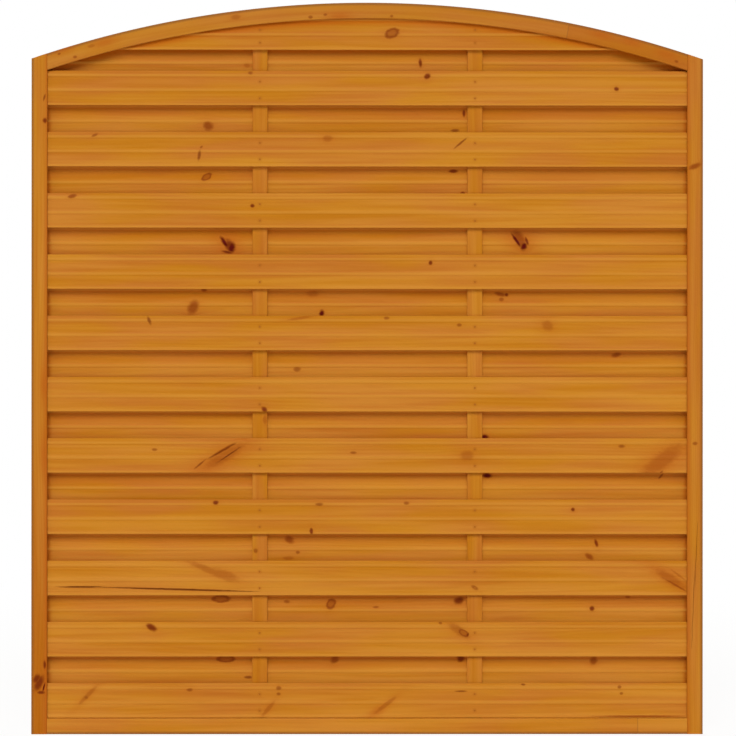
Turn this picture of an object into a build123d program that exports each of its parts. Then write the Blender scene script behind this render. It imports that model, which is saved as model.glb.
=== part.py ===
from build123d import *

import os
from itertools import pairwise
from math import asin, cos, sin, sqrt

# Arched privacy fence panel in softwood.
# A grooved frame holds two layers of ribbed slats, nailed to the front and the back of two upright
# battens so that each back slat covers a gap between front slats.
# Millimetres. The panel stands on Z = 0 with its front towards -Y, and the origin is under its middle.

# Overall sizes
PANEL_WIDTH = 1790.0
SIDE_HEIGHT = 1800.0
ARCH_RISE = 150.0

# Frame members, and the groove along their inner side
FRAME_FACE = 42.0
FRAME_DEPTH = 40.0
FRAME_CHAMFER = 2.0
GROOVE_DEPTH = 12.0

# Slats: both faces have ribs from the lower edge up, as many as there is room for
SLAT_HEIGHT = 92.0
SLAT_THICKNESS = 9.0
SLAT_EDGE_RADIUS = 2.0
LOWEST_RIB = 2.0
RIB_SPACING = 39.0
RIB_WIDTH = 13.0
RIB_HEIGHT = 1.2

# Rows of front slats: full ones from the lower rail to the arch's ends, and above them one cut to the arch
FULL_ROWS = 11
OUTER_SLAT_GAP = 1.0
CUT_SLAT_LAP = 9.0

# Upright battens
BATTEN_WIDTH = 40.0
BATTEN_DEPTH = 8.0
BATTEN_OFFSET = 287.0

# Nails that hold the slats
NAIL_LENGTH = 14.0
NAIL_DIAMETER = 2.2
NAIL_POINT = 3.0
NAIL_HEAD_DIAMETER = 5.0
NAIL_HEAD_THICKNESS = 1.2
NAIL_SPACING = 44.0
NAIL_EDGE_DISTANCE = 12.0

# Screws in the frame corners
SCREW_LENGTH = 80.0
SCREW_DIAMETER = 5.0
SCREW_POINT = 7.0
SCREW_HEAD_DIAMETER = 9.6
SCREW_HEAD_HEIGHT = 4.6
SCREW_HEAD_RIM = 0.5
SCREW_SINK = 3.0

# Flat end of the nails' and screws' points
TIP_RADIUS = 0.3

# Clearances
MAT_CLEARANCE = 0.3
END_CLEARANCE = 1.0
TENON_CLEARANCE = 0.2
FASTENER_CLEARANCE = 0.05

# Sizes that follow from those above
APEX_HEIGHT = SIDE_HEIGHT + ARCH_RISE
ARCH_RADIUS = ((PANEL_WIDTH / 2) ** 2 + ARCH_RISE**2) / (2 * ARCH_RISE)
ARCH_CENTRE_HEIGHT = APEX_HEIGHT - ARCH_RADIUS
ARCH_UNDERSIDE_RADIUS = ARCH_RADIUS - FRAME_FACE
ARCH_GROOVE_RADIUS = ARCH_UNDERSIDE_RADIUS + GROOVE_DEPTH
INNER_HALF_WIDTH = PANEL_WIDTH / 2 - FRAME_FACE
SLAT_HALF_LENGTH = INNER_HALF_WIDTH + GROOVE_DEPTH - END_CLEARANCE
SLAT_OFFSET = (BATTEN_DEPTH + SLAT_THICKNESS) / 2
MAT_THICKNESS = BATTEN_DEPTH + 2 * SLAT_THICKNESS
GROOVE_WIDTH = MAT_THICKNESS + 2 * MAT_CLEARANCE
CORE_FACE = FRAME_FACE - GROOVE_DEPTH
TENON_LENGTH = GROOVE_DEPTH - END_CLEARANCE
TENON_THICKNESS = GROOVE_WIDTH - 2 * TENON_CLEARANCE
FRONT = -1
BACK = 1
SIDES = {"left": -1, "right": 1}


def arc_height(radius, x):
    """Height of the arc of this radius about the arch's centre, at a distance x from the middle."""
    return ARCH_CENTRE_HEIGHT + sqrt(radius**2 - x**2)


def arch_disc(radius, depth=2 * FRAME_DEPTH):
    """A disc about the arch's centre, deeper than the frame unless told otherwise, for cutting to an arc."""
    return Pos(0, 0, ARCH_CENTRE_HEIGHT) * Rot(90, 0, 0) * Cylinder(radius, depth)


def frame_section():
    """Section of a frame member, with its groove open towards +X."""
    stock = chamfer(Rectangle(FRAME_FACE, FRAME_DEPTH).vertices(), FRAME_CHAMFER)
    groove = Rectangle(GROOVE_DEPTH, GROOVE_WIDTH, align=(Align.MAX, Align.CENTER))
    return stock - Pos(FRAME_FACE / 2, 0) * groove


def tenon_block(side, height):
    """A block from the ground up, in the groove of the stile on this side."""
    block = Box(TENON_LENGTH, TENON_THICKNESS, height, align=(Align.MIN, Align.CENTER, Align.MIN))
    if side < 0:
        block = mirror(block, about=Plane.YZ)
    return Pos(side * INNER_HALF_WIDTH, 0, 0) * block


def make_stile(side):
    """An upright of the frame, its top cut to the arch's outer arc."""
    place = Plane(origin=(side * (PANEL_WIDTH - FRAME_FACE) / 2, 0, 0), x_dir=(-side, 0, 0), z_dir=(0, 0, 1))
    upright = extrude(place * frame_section(), amount=APEX_HEIGHT)
    return upright & arch_disc(ARCH_RADIUS)


def make_bottom_rail():
    """The lower rail, with a stub tenon at each end."""
    place = Plane(origin=(0, 0, FRAME_FACE / 2), x_dir=(0, 0, 1), z_dir=(1, 0, 0))
    rail = extrude(place * frame_section(), amount=INNER_HALF_WIDTH, both=True)
    for side in SIDES.values():
        rail += tenon_block(side, CORE_FACE)
    return rail


def make_arch_rail():
    """The curved upper rail, its ends cut upright against the stiles, with a stub tenon at each."""
    between_stiles = Box(
        2 * INNER_HALF_WIDTH, 2 * FRAME_DEPTH, 2 * APEX_HEIGHT, align=(Align.CENTER, Align.CENTER, Align.MIN)
    )
    rail = (arch_disc(ARCH_RADIUS, FRAME_DEPTH) & between_stiles) - arch_disc(ARCH_UNDERSIDE_RADIUS)
    long_edges = rail.edges().filter_by(GeomType.CIRCLE)
    rail = chamfer(long_edges, FRAME_CHAMFER) - arch_disc(ARCH_GROOVE_RADIUS, GROOVE_WIDTH)
    for side in SIDES.values():
        tenon = tenon_block(side, APEX_HEIGHT) & arch_disc(ARCH_RADIUS)
        rail += tenon - arch_disc(ARCH_GROOVE_RADIUS)
    return rail


def make_batten(side):
    """An upright strip between the slats, from the lower rail's groove to the arch's."""
    strip = Box(BATTEN_WIDTH, BATTEN_DEPTH, APEX_HEIGHT, align=(Align.CENTER, Align.CENTER, Align.MIN))
    strip = Pos(side * BATTEN_OFFSET, 0, CORE_FACE) * strip
    return strip & arch_disc(ARCH_GROOVE_RADIUS - END_CLEARANCE)


def rib_heights():
    """Heights of the ribs' crests above a slat's lower edge."""
    heights = [LOWEST_RIB]
    while heights[-1] + RIB_SPACING + RIB_WIDTH / 2 + SLAT_EDGE_RADIUS < SLAT_HEIGHT:
        heights.append(heights[-1] + RIB_SPACING)
    return heights


def slat_section():
    """Section of a slat in depth and height above its lower edge. The lowest rib is rounded off into that edge."""
    crest = SLAT_THICKNESS / 2
    field = crest - RIB_HEIGHT
    shoulder = SLAT_HEIGHT - SLAT_EDGE_RADIUS
    ribs = rib_heights()
    edges = [
        Line((0, 0), (crest - LOWEST_RIB, 0)),
        TangentArc((crest, LOWEST_RIB), (crest - LOWEST_RIB, 0), tangent=(0, -1)),
    ]
    for rib in ribs:
        foot = rib + RIB_WIDTH / 2
        field_end = rib + RIB_SPACING - RIB_WIDTH / 2 if rib < ribs[-1] else shoulder
        edges.append(TangentArc((crest, rib), (field, foot), tangent=(0, 1)))
        edges.append(Line((field, foot), (field, field_end)))
    for rib in ribs[1:]:
        edges.append(TangentArc((crest, rib), (field, rib - RIB_WIDTH / 2), tangent=(0, -1)))
    edges.append(TangentArc((field, shoulder), (field - SLAT_EDGE_RADIUS, SLAT_HEIGHT), tangent=(0, 1)))
    edges.append(Line((field - SLAT_EDGE_RADIUS, SLAT_HEIGHT), (0, SLAT_HEIGHT)))
    side = Curve() + edges
    return make_face(side + mirror(side, about=Plane.YZ))


def make_slat(section, layer, bottom):
    """A slat on one layer, its lower edge at this height, cut to the arch where it reaches it."""
    slat = extrude(Plane.YZ * section, amount=SLAT_HALF_LENGTH, both=True)
    slat = Pos(0, layer * SLAT_OFFSET, bottom) * slat
    return slat & arch_disc(ARCH_GROOVE_RADIUS - END_CLEARANCE)


def turned(points):
    """A solid turned about Z from an outline of (radius, height) points."""
    return revolve(Plane.XZ * make_face(Polyline(*points, close=True)), Axis.Z)


def point(shank, length, tip):
    """Outline of a fastener's point, from its shank to the flat end at its tip."""
    return [(shank, tip - length), (TIP_RADIUS, tip), (0, tip)]


def nail(clearance=0.0, above=0.0):
    """A flat-headed nail pointing along +Z from its head's top, or its hole, open above the head."""
    head = NAIL_HEAD_DIAMETER / 2 + clearance
    shank = NAIL_DIAMETER / 2 + clearance
    neck = NAIL_HEAD_THICKNESS
    tip = NAIL_LENGTH + clearance
    return turned([(0, -above), (head, -above), (head, neck), (shank, neck), *point(shank, NAIL_POINT, tip)])


def screw(clearance=0.0, above=0.0):
    """A countersunk screw pointing along +Z from its head's top, or its hole, open above the head."""
    head = SCREW_HEAD_DIAMETER / 2 + clearance
    shank = SCREW_DIAMETER / 2 + clearance
    rim = SCREW_HEAD_RIM
    neck = SCREW_HEAD_HEIGHT
    tip = SCREW_LENGTH + clearance
    return turned([(0, -above), (head, -above), (head, rim), (shank, neck), *point(shank, SCREW_POINT, tip)])


def front_slat_bottoms():
    """Heights of the front slats' lower edges. The full rows are evenly spaced, and the cut one laps the arch."""
    lowest = FRAME_FACE + OUTER_SLAT_GAP
    highest = arc_height(ARCH_UNDERSIDE_RADIUS, INNER_HALF_WIDTH) - OUTER_SLAT_GAP - SLAT_HEIGHT
    pitch = (highest - lowest) / (FULL_ROWS - 1)
    full_rows = [lowest + row * pitch for row in range(FULL_ROWS)]
    cut_row = arc_height(ARCH_UNDERSIDE_RADIUS, 0) + CUT_SLAT_LAP - SLAT_HEIGHT
    return [*full_rows, cut_row]


def nail_places(layer, bottom):
    """Planes at the heads of a slat's nails, on both sides of its second rib. None is under the arch's lip."""
    field = layer * (SLAT_OFFSET + SLAT_THICKNESS / 2 - RIB_HEIGHT)
    lip = arc_height(ARCH_UNDERSIDE_RADIUS, BATTEN_OFFSET + BATTEN_WIDTH / 2)
    middle = bottom + LOWEST_RIB + RIB_SPACING
    lower = middle - NAIL_SPACING / 2
    upper = min(middle + NAIL_SPACING / 2, lip - NAIL_EDGE_DISTANCE)
    return [
        Plane(origin=(side * BATTEN_OFFSET, field, height), z_dir=(0, -layer, 0))
        for side in SIDES.values()
        for height in (lower, upper)
    ]


def screw_places():
    """Planes at the heads of the corner screws: level into the lower rail, along the arch above."""
    core_radius = (ARCH_GROOVE_RADIUS + ARCH_RADIUS) / 2
    slope = asin(INNER_HALF_WIDTH / core_radius)
    outer_face = PANEL_WIDTH / 2
    top_height = arc_height(core_radius, INNER_HALF_WIDTH) - FRAME_FACE * sin(slope) / cos(slope)
    places = []
    for side in SIDES.values():
        level = Vector(-side, 0, 0)
        rising = Vector(-side * cos(slope), 0, sin(slope))
        for height, way in ((CORE_FACE / 2, level), (top_height, rising)):
            places.append(Plane(origin=Vector(side * outer_face, 0, height) + way * SCREW_SINK, z_dir=way))
    return places


def put(solid, places):
    """A list with a copy of the solid at each of the places."""
    return [place * solid for place in places]


def cut(piece, tools):
    """The piece less those tools that reach into its box."""
    box = piece.bounding_box()
    near = [tool for tool in tools if box.overlaps(tool.bounding_box())]
    return piece - near if near else piece


def main():
    """Makes every piece and writes each to its own file."""
    section = slat_section()
    front_bottoms = front_slat_bottoms()
    back_bottoms = [(lower + upper) / 2 for lower, upper in pairwise(front_bottoms)]

    nail_hole = nail(FASTENER_CLEARANCE, above=SLAT_THICKNESS)
    screw_hole = screw(FASTENER_CLEARANCE, above=FRAME_FACE)
    screw_holes = put(screw_hole, screw_places())

    pieces = {
        "left_stile": make_stile(SIDES["left"]),
        "right_stile": make_stile(SIDES["right"]),
        "bottom_rail": make_bottom_rail(),
        "arch_rail": make_arch_rail(),
    }
    for name, piece in pieces.items():
        pieces[name] = cut(piece, screw_holes)

    nail_holes = []
    for word, layer, bottoms in (("front", FRONT, front_bottoms), ("back", BACK, back_bottoms)):
        all_places = []
        for number, bottom in enumerate(bottoms, start=1):
            places = nail_places(layer, bottom)
            holes = put(nail_hole, places)
            pieces[f"{word}_slat_{number:02d}"] = cut(make_slat(section, layer, bottom), holes)
            all_places += places
            nail_holes += holes
        pieces[f"{word}_nails"] = Compound(children=put(nail(), all_places))

    for word, side in SIDES.items():
        pieces[f"{word}_batten"] = cut(make_batten(side), nail_holes)
    pieces["corner_screws"] = Compound(children=put(screw(), screw_places()))

    os.makedirs("parts", exist_ok=True)
    for name, piece in pieces.items():
        export_step(piece, f"parts/{name}.step")


main()
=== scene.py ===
"""Arched privacy fence panel in stained softwood, finished around the packed frame."""

import math
import random
from collections import namedtuple

import bmesh
import bpy
from bpy.props import FloatProperty, FloatVectorProperty, IntProperty, PointerProperty
from bpy.types import Operator, Panel, PropertyGroup
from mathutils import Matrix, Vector


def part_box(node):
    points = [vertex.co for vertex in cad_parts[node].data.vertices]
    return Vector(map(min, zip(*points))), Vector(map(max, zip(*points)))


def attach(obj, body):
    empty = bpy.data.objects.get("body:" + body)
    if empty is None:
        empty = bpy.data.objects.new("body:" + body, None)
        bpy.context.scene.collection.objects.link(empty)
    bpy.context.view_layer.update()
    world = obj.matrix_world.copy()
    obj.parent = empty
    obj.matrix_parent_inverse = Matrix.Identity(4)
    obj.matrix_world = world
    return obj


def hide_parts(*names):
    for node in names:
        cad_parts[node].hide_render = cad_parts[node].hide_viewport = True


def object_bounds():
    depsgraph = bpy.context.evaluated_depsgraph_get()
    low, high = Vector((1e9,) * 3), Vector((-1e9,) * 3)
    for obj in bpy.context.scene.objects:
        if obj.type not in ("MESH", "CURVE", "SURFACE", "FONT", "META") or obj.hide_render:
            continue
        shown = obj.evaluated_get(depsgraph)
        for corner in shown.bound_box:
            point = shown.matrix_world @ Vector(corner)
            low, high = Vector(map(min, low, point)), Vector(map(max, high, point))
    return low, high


bl_info = {
    "name": "Arched Fence Panel",
    "version": (1, 0, 0),
    "blender": (4, 5, 0),
    "location": "View3D > Sidebar > Fence",
    "description": "Models and finishes the timber, nails and screws of an arched privacy fence panel",
    "category": "Add Mesh",
}

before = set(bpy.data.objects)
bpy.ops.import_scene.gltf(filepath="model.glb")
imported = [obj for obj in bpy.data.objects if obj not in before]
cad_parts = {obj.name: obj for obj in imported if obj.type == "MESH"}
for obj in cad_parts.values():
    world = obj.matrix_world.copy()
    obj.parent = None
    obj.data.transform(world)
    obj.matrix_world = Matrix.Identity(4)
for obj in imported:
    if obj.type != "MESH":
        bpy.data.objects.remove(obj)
CAD_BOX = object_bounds()

# Rows of slats and sides of the panel, as the frame names them
FRONT_SLATS = sorted(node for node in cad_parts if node.startswith("front_slat"))
BACK_SLATS = sorted(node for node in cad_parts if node.startswith("back_slat"))
SIDES = {"left": -1, "right": 1}
FRONT = -1
BACK = 1

# A point closer than this to a plane lies on it, in metres
TOUCH = 1e-5
MM = 0.001

# Faces that meet at less than this angle are shaded as one
SMOOTH_ANGLE = math.radians(14)

# How the photograph's pixels fall on the panel's front: metres to a pixel, the middle and the ground
PHOTO_PIXEL = 0.0026677
PHOTO_MIDDLE = 366.6
PHOTO_GROUND = 733.9

Board = namedtuple("Board", "light red dull fade", defaults=(0, 0, 0, 0))
Board.__doc__ = """How a piece differs from the usual tone: lighter, redder, duller, and redder towards its
lower end."""

BOARDS = {
    "arch_rail": Board(red=0.05, dull=0.1),
    "bottom_rail": Board(light=0.25),
    "left_stile": Board(light=0.34, fade=0.48),
    "right_stile": Board(dull=0.05, fade=0.15),
    "left_batten": Board(red=0.12),
    "right_batten": Board(red=0.1),
    "front_slat_12": Board(red=0.12),
    "front_slat_09": Board(light=0.14),
    "front_slat_06": Board(light=0.12),
    "front_slat_05": Board(light=0.12),
    "front_slat_03": Board(light=0.16),
    "front_slat_02": Board(light=0.14),
    "front_slat_01": Board(light=0.26),
    "back_slat_02": Board(light=0.24, red=0.03),
    "back_slat_01": Board(light=0.3),
    # Back slats are painted a little redder, and lighter as painted light that offsets the shade of their
    # recessed layer
    "back_slat": Board(light=0.08, red=0.05),
}

Look = namedtuple("Look", "heart dark rim glow bend")
Look.__doc__ = """How strong, from 0 to 1, a mark's brown heart, dark core, dark rim and red surroundings are,
and how far it pushes the grain aside."""

LOOKS = {
    "black": Look(heart=1.0, dark=1.0, rim=0.5, glow=0.5, bend=0.5),
    "dark": Look(heart=0.9, dark=0.55, rim=0.2, glow=0.4, bend=0.5),
    "brown": Look(heart=0.8, dark=0.12, rim=0.3, glow=0.4, bend=0.5),
    "ring": Look(heart=0.6, dark=0.0, rim=0.8, glow=0.4, bend=0.5),
    "spot": Look(heart=0.5, dark=0.25, rim=0.0, glow=0.2, bend=0.3),
    "slit": Look(heart=0.4, dark=0.5, rim=0.0, glow=0.1, bend=0.0),
    "smudge": Look(heart=0.4, dark=0.0, rim=0.0, glow=0.5, bend=0.0),
    "blush": Look(heart=0.0, dark=0.0, rim=0.0, glow=1.0, bend=0.0),
}

Knot = namedtuple("Knot", "look column row long wide turn", defaults=(0,))
Knot.__doc__ = """A knot or another mark: its look, its pixel in the photograph, half its length and half its
width in millimetres, and the turn of its length in degrees."""

KNOTS = {
    "arch_rail": (
        Knot("blush", column=63, row=49, long=20, wide=9),
        Knot("blush", column=104, row=43, long=24, wide=8),
        Knot("spot", column=58.7, row=54.5, long=5, wide=3),
        Knot("spot", column=74.6, row=57.5, long=6, wide=4),
        Knot("smudge", column=91, row=46.5, long=10, wide=5),
        Knot("smudge", column=235, row=17.6, long=14, wide=7),
        Knot("spot", column=309.7, row=17.6, long=7, wide=5),
        Knot("spot", column=324.4, row=15, long=6, wide=4),
        Knot("blush", column=338, row=16.4, long=22, wide=7),
        Knot("spot", column=390.7, row=16.4, long=5, wide=4),
        Knot("blush", column=600, row=35, long=20, wide=7),
        Knot("blush", column=631, row=42, long=20, wide=7),
        Knot("blush", column=665, row=54, long=20, wide=7),
        Knot("spot", column=675.5, row=61.5, long=6, wide=4),
    ),
    "left_stile": (
        Knot("dark", column=44.6, row=121, long=8, wide=6),
        Knot("slit", column=44, row=98, long=11, wide=3, turn=15),
        Knot("blush", column=43.5, row=385, long=30, wide=6),
        Knot("blush", column=43.5, row=455, long=40, wide=6),
        Knot("dark", column=44.6, row=664.5, long=12, wide=4),
        Knot("dark", column=39, row=683, long=25, wide=11, turn=28),
        Knot("dark", column=36.5, row=678.5, long=15, wide=9, turn=30),
        Knot("black", column=43.7, row=687, long=14, wide=2.5, turn=15),
        Knot("dark", column=41, row=692, long=5, wide=11),
    ),
    "right_stile": (
        Knot("brown", column=694, row=166, long=7, wide=18, turn=-22),
        Knot("spot", column=694.3, row=443.3, long=5, wide=8),
    ),
    "left_batten": (
        Knot("smudge", column=264, row=420, long=12, wide=6),
        Knot("spot", column=255, row=551, long=7, wide=6.5),
    ),
    "front_slat_12": (Knot("ring", column=391, row=33, long=18, wide=12, turn=20),),
    "back_slat_11": (
        Knot("dark", column=419.6, row=62.2, long=12, wide=5, turn=95),
        Knot("smudge", column=246, row=65, long=9, wide=6),
    ),
    "front_slat_11": (
        Knot("spot", column=249.5, row=73, long=7, wide=5),
        Knot("dark", column=426.3, row=76.3, long=10, wide=8, turn=35),
        Knot("dark", column=615.7, row=88.6, long=7, wide=6),
    ),
    "back_slat_10": (
        Knot("brown", column=207, row=125.6, long=14, wide=12, turn=-20),
        Knot("dark", column=463.3, row=112.7, long=10, wide=4.5, turn=90),
        Knot("slit", column=454.5, row=129.8, long=13, wide=5),
    ),
    "front_slat_10": (
        Knot("spot", column=94, row=135.3, long=10, wide=4, turn=25),
        Knot("slit", column=198.4, row=155.5, long=15, wide=5, turn=82),
        Knot("spot", column=200.5, row=147, long=5, wide=3, turn=40),
        Knot("smudge", column=326.7, row=138.5, long=14, wide=9),
        Knot("slit", column=459.7, row=143, long=25, wide=3, turn=40),
    ),
    "back_slat_09": (
        Knot("ring", column=205.3, row=176.5, long=14, wide=8, turn=35),
        Knot("dark", column=452.7, row=170.6, long=14, wide=5),
        Knot("dark", column=462.1, row=192.9, long=7, wide=5.5),
    ),
    "front_slat_09": (
        Knot("brown", column=71.6, row=196.4, long=12, wide=5.5, turn=15),
        Knot("dark", column=251.6, row=205.8, long=6, wide=5.5),
    ),
    "back_slat_08": (
        Knot("blush", column=228, row=244, long=34, wide=24, turn=-60),
        Knot("dark", column=228.5, row=245.5, long=20, wide=13, turn=-60),
        Knot("black", column=223.5, row=242.5, long=21, wide=6, turn=-56),
        Knot("black", column=230.5, row=247.5, long=16, wide=11, turn=80),
        Knot("dark", column=226.5, row=252, long=17, wide=4, turn=-10),
        Knot("blush", column=520, row=240, long=36, wide=22, turn=-56),
        Knot("brown", column=519.5, row=239, long=28, wide=14, turn=-58),
        Knot("black", column=516, row=240, long=25, wide=4.5, turn=-56),
        Knot("black", column=523.5, row=246, long=12, wide=9, turn=60),
        Knot("dark", column=526.3, row=240.5, long=14, wide=4, turn=-72),
    ),
    "front_slat_08": (Knot("dark", column=429.8, row=262.7, long=6.5, wide=5.5, turn=80),),
    "back_slat_07": (
        Knot("brown", column=192, row=307.3, long=20, wide=14, turn=62),
        Knot("brown", column=203, row=290, long=8, wide=5),
        Knot("smudge", column=311.5, row=293.5, long=17, wide=9),
        Knot("black", column=320.9, row=313.2, long=9.5, wide=7, turn=80),
        Knot("brown", column=500, row=294, long=16, wide=6, turn=-10),
        Knot("dark", column=506, row=294.5, long=6, wide=5),
        Knot("spot", column=501, row=299, long=7, wide=6),
    ),
    "front_slat_07": (
        Knot("slit", column=148.5, row=320.8, long=13, wide=5, turn=110),
        Knot("smudge", column=300, row=318, long=38, wide=4, turn=9),
        Knot("spot", column=385.8, row=318.1, long=8, wide=4.5),
        Knot("spot", column=458.6, row=324.9, long=7, wide=5),
        Knot("smudge", column=547, row=325.5, long=17, wide=14, turn=-35),
    ),
    "back_slat_06": (
        Knot("spot", column=296.2, row=369.3, long=11, wide=7),
        Knot("brown", column=616.3, row=354.7, long=13, wide=6, turn=15),
    ),
    "front_slat_06": (Knot("dark", column=263.5, row=409.5, long=9, wide=7, turn=-45),),
    "back_slat_05": (Knot("black", column=484.4, row=437, long=11, wide=6.5),),
    "front_slat_05": (
        Knot("spot", column=153.8, row=449.7, long=8, wide=4),
        Knot("blush", column=220, row=459, long=70, wide=18, turn=30),
        Knot("smudge", column=224, row=456, long=62, wide=15, turn=31),
        Knot("brown", column=222, row=450.5, long=40, wide=4.5, turn=30),
        Knot("slit", column=228, row=455, long=42, wide=2.5, turn=34),
        Knot("slit", column=199, row=464.5, long=22, wide=3, turn=40),
        Knot("spot", column=352.6, row=452.7, long=9, wide=4),
        Knot("smudge", column=466.2, row=455.6, long=20, wide=14),
        Knot("spot", column=621, row=446.2, long=10, wide=5),
        Knot("blush", column=660, row=463, long=58, wide=24, turn=35),
        Knot("smudge", column=661, row=461, long=72, wide=22, turn=38),
        Knot("slit", column=660, row=473, long=12, wide=3, turn=45),
    ),
    "back_slat_04": (
        Knot("black", column=486.8, row=475.8, long=13, wide=7),
        Knot("slit", column=661, row=476.5, long=11, wide=3, turn=48),
    ),
    "front_slat_04": (
        Knot("dark", column=215.2, row=502.6, long=8, wide=6),
        Knot("spot", column=318.5, row=504.3, long=12, wide=5),
        Knot("dark", column=310.7, row=531.1, long=9, wide=5, turn=95),
        Knot("spot", column=405.8, row=503.1, long=8, wide=5),
        Knot("dark", column=572.3, row=509.6, long=5.5, wide=5.5),
    ),
    "back_slat_03": (
        Knot("brown", column=288.6, row=540, long=13, wide=10, turn=-30),
        Knot("spot", column=297, row=552.8, long=6, wide=5),
        Knot("smudge", column=287.4, row=558.7, long=15, wide=5),
        Knot("dark", column=596.3, row=543.5, long=11, wide=5, turn=108),
        Knot("brown", column=589.3, row=557, long=12, wide=7, turn=-30),
    ),
    "front_slat_03": (
        Knot("smudge", column=208, row=570, long=62, wide=9, turn=-22),
        Knot("smudge", column=223, row=575, long=44, wide=14, turn=-18),
        Knot("slit", column=80, row=587, long=66, wide=3),
        Knot("slit", column=180, row=589.5, long=205, wide=3.5, turn=-1.6),
        Knot("spot", column=473.9, row=587.5, long=12, wide=5, turn=-30),
        Knot("blush", column=672, row=580, long=50, wide=13, turn=-32),
        Knot("smudge", column=670, row=579, long=46, wide=13, turn=-32),
        Knot("smudge", column=668, row=578, long=34, wide=3, turn=-34),
        Knot("smudge", column=678, row=575, long=26, wide=3, turn=-36),
        Knot("brown", column=675, row=585, long=36, wide=3, turn=-30),
    ),
    "back_slat_02": (
        Knot("ring", column=219.9, row=599.5, long=23, wide=9),
        Knot("spot", column=286, row=602, long=9, wide=5),
        Knot("ring", column=330.3, row=604.5, long=14, wide=11, turn=60),
        Knot("spot", column=375.3, row=607.7, long=9, wide=3.5),
        Knot("dark", column=458.6, row=601, long=15, wide=11, turn=20),
        Knot("dark", column=592, row=609.2, long=7, wide=7),
        Knot("spot", column=628, row=597.6, long=8, wide=4),
    ),
    "front_slat_02": (
        Knot("dark", column=150.9, row=627.4, long=17, wide=9, turn=-30),
        Knot("spot", column=439.8, row=623, long=5, wide=4.5),
        Knot("smudge", column=458, row=630.5, long=36, wide=12, turn=-36),
        Knot("ring", column=463, row=633, long=15, wide=8, turn=-34),
        Knot("dark", column=467, row=635, long=7, wide=4, turn=70),
    ),
    "back_slat_01": (
        Knot("ring", column=225.2, row=659.6, long=23, wide=9),
        Knot("brown", column=333.8, row=660.2, long=13, wide=10, turn=40),
        Knot("slit", column=247.5, row=678, long=12, wide=4.5),
        Knot("dark", column=460.4, row=659.6, long=12, wide=9),
        Knot("brown", column=593.7, row=661.4, long=12, wide=10, turn=70),
    ),
    "front_slat_01": (
        Knot("smudge", column=87.5, row=695, long=36, wide=6, turn=46),
        Knot("spot", column=85.7, row=697.3, long=6, wide=5),
        Knot("spot", column=189, row=689.9, long=9, wide=5),
        Knot("spot", column=278, row=688, long=8, wide=6),
        Knot("spot", column=278, row=694, long=6, wide=4.5),
        Knot("smudge", column=267.5, row=709, long=26, wide=6, turn=50),
        Knot("smudge", column=385, row=705, long=36, wide=6, turn=38),
        Knot("blush", column=377, row=711, long=18, wide=7, turn=30),
        Knot("slit", column=460.4, row=691.3, long=18, wide=2.5),
        Knot("slit", column=522.6, row=684.6, long=7, wide=3),
        # Painted shadow: this dark line along the slat's lower edge stands in for the shaded gap above the
        # bottom rail
        Knot("brown", column=640, row=716.3, long=125, wide=2.5),
        Knot("spot", column=619, row=687, long=6, wide=5),
        Knot("spot", column=621, row=693.5, long=5, wide=4),
    ),
}

Crack = namedtuple("Crack", "from_column from_row to_column to_row width")
Crack.__doc__ = """A crack in a front face: the pixels in the photograph that it runs between, and its width
in millimetres."""

CRACKS = {
    "front_slat_03": (
        Crack(from_column=55, from_row=587, to_column=106, to_row=587, width=2.6),
        Crack(from_column=103, from_row=587.4, to_column=257, to_row=591.8, width=3.8),
    ),
    "front_slat_05": (
        Crack(from_column=207, from_row=459, to_column=236, to_row=442.5, width=1.8),
        Crack(from_column=214, from_row=464.4, to_column=242, to_row=445.6, width=1.2),
    ),
    "right_stile": (
        Crack(from_column=696.7, from_row=522, to_column=694, to_row=590, width=1.6),
        Crack(from_column=693.7, from_row=570, to_column=690.8, to_row=649, width=1.8),
    ),
}

# Columns of the photograph where two lengths of timber are joined end to end
FINGER_JOINTS = {"arch_rail": 573, "bottom_rail": 637}

Stretch = namedtuple("Stretch", "along across through")
Stretch.__doc__ = """How many times a pattern of the wood repeats in a metre along, across and through it."""

KNOT_EDGE = Stretch(along=90, across=160, through=60)
RIPPLE = Stretch(along=5, across=45, through=45)
PATCH = Stretch(along=4, across=22, through=20)
BROAD_STREAK = Stretch(along=1.4, across=11, through=20)
STREAK = Stretch(along=2.6, across=70, through=70)
FIBRE = Stretch(along=22, across=650, through=650)

# Where the parts of a knot begin and end, as shares of its own size from its middle
HEART_END = (0.5, 1.25)
CORE_END = (0.3, 1.15)
RIM_START = (0.35, 0.8)
RIM_END = (0.85, 1.3)


def from_srgb(red, green, blue):
    """A colour for Blender from the 0 to 255 values that a screen shows."""
    return tuple(
        level / 12.92 if level <= 0.04045 else ((level + 0.055) / 1.055) ** 2.4
        for level in (red / 255, green / 255, blue / 255)
    )


def length(name, description, default):
    """A length in metres that a user can change."""
    return FloatProperty(
        name=name, description=description, default=default, min=0, unit="LENGTH", precision=4
    )


def angle(name, description, default):
    """An angle that a user can change."""
    return FloatProperty(name=name, description=description, default=default, subtype="ANGLE")


def strength(name, description, default):
    """A light's strength that a user can change."""
    return FloatProperty(name=name, description=description, default=default, min=0)


def colour(name, description, default):
    """A colour that a user can change."""
    return FloatVectorProperty(
        name=name, description=description, default=default, min=0, max=1, size=3, subtype="COLOR"
    )


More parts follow.
